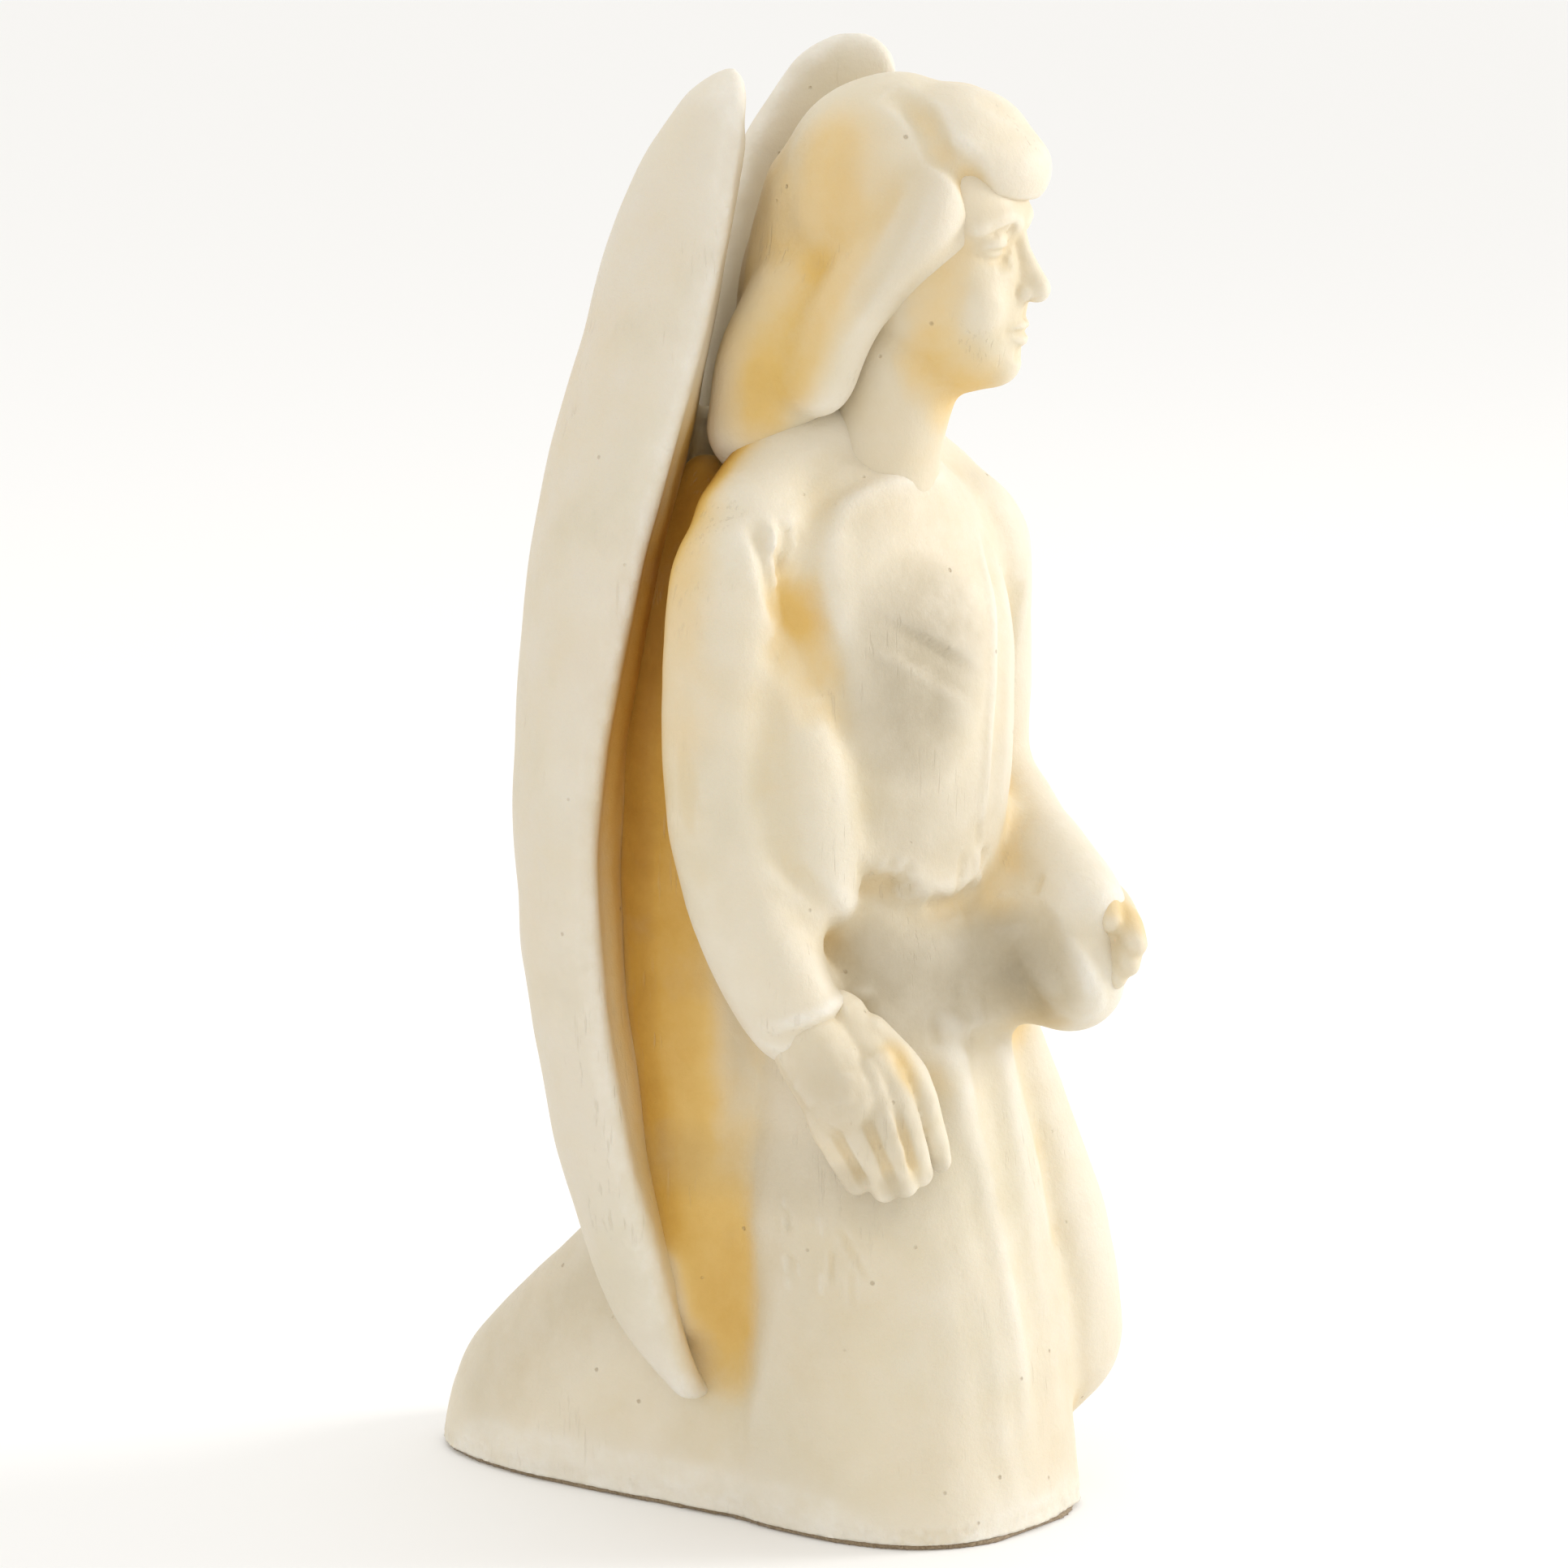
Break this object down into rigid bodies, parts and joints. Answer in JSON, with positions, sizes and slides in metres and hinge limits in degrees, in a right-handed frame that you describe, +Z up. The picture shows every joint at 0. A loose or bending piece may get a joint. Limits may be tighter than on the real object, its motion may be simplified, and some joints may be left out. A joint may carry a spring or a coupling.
{
  "type": "angel figurine",
  "caption": "Kneeling angel statuette in cream cast resin: long gown with a wide train, bobbed hair, tall hollowed wings, one hand on the thigh and one folded before the waist.",
  "frame": {"origin": "centre of the foot of the gown, on the underside of the felt sheet", "axes": "+Z up; the figure faces -Y, so its train runs towards +Y; its right side is towards -X"},
  "size_m": [0.0788, 0.1164, 0.2207],
  "materials": {
    "cream_resin": "matte cast resin, ivory with an ochre wash in the hollows",
    "dowel_steel": "plain steel pin",
    "tan_felt": "felt"
  },
  "bodies": {
    "root": {"gown": "cream_resin", "head": "cream_resin", "right_wing": "cream_resin", "left_wing": "cream_resin", "right_hand": "cream_resin", "left_hand": "cream_resin", "neck_dowel": "dowel_steel", "right_wing_upper_dowel": "dowel_steel", "right_wing_lower_dowel": "dowel_steel", "left_wing_upper_dowel": "dowel_steel", "left_wing_lower_dowel": "dowel_steel", "right_wrist_dowel": "dowel_steel", "left_wrist_dowel": "dowel_steel", "felt_base": "tan_felt"}
  },
  "joints": []
}
